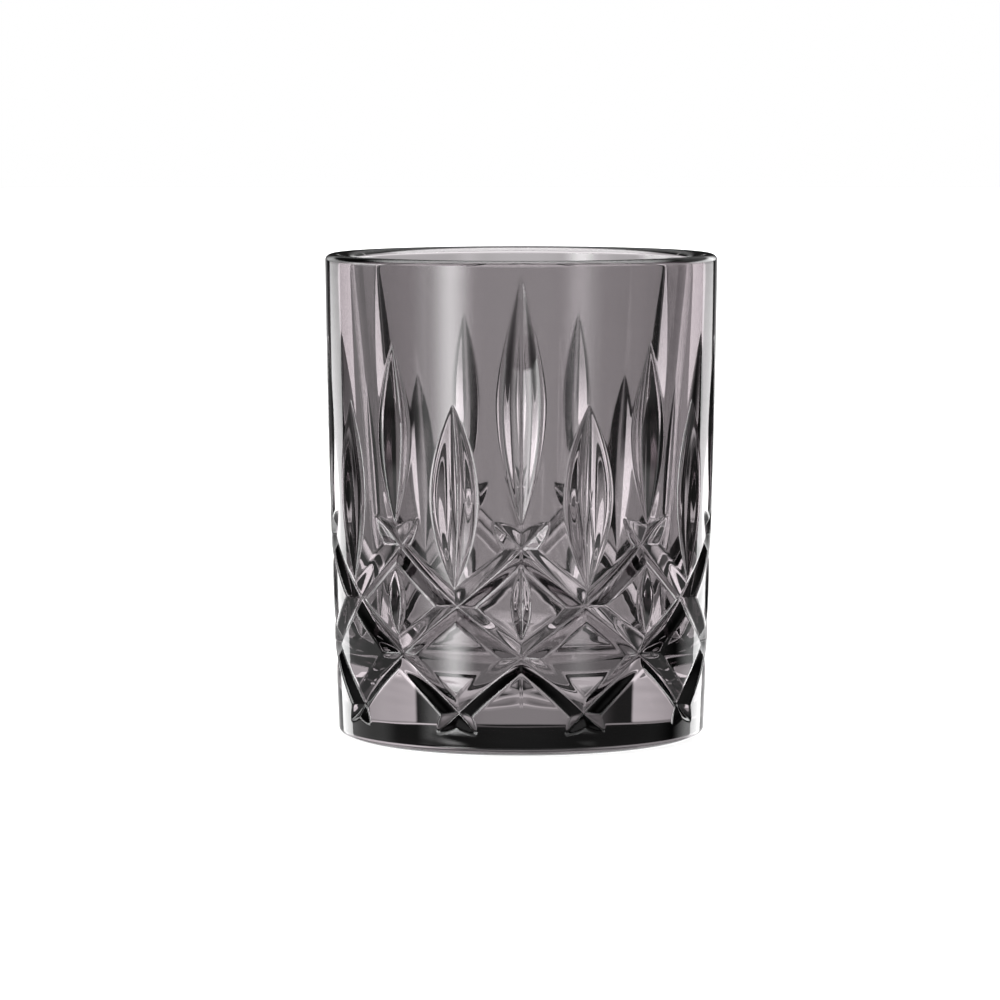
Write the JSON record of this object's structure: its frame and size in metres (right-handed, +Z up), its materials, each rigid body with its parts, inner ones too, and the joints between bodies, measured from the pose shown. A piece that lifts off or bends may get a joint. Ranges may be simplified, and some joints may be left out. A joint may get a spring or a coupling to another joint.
{
  "type": "whiskey tumbler",
  "caption": "Straight-sided pressed crystal tumbler in smoke-tinted glass, with upright leaf cuts over a diamond lattice, a thick base and a rounded, polished rim.",
  "frame": {"origin": "centre of the plane that the foot stands on", "axes": "+Z up along the axis of the glass, -Y towards the front, where one of the three tallest leaf cuts stands"},
  "size_m": [0.0792, 0.0792, 0.098],
  "materials": {
    "smoked_glass": "clear smoke-grey crystal glass, fire polished, with crisp pressed cuts"
  },
  "bodies": {
    "root": {"tumbler_glass": "smoked_glass"}
  },
  "joints": []
}
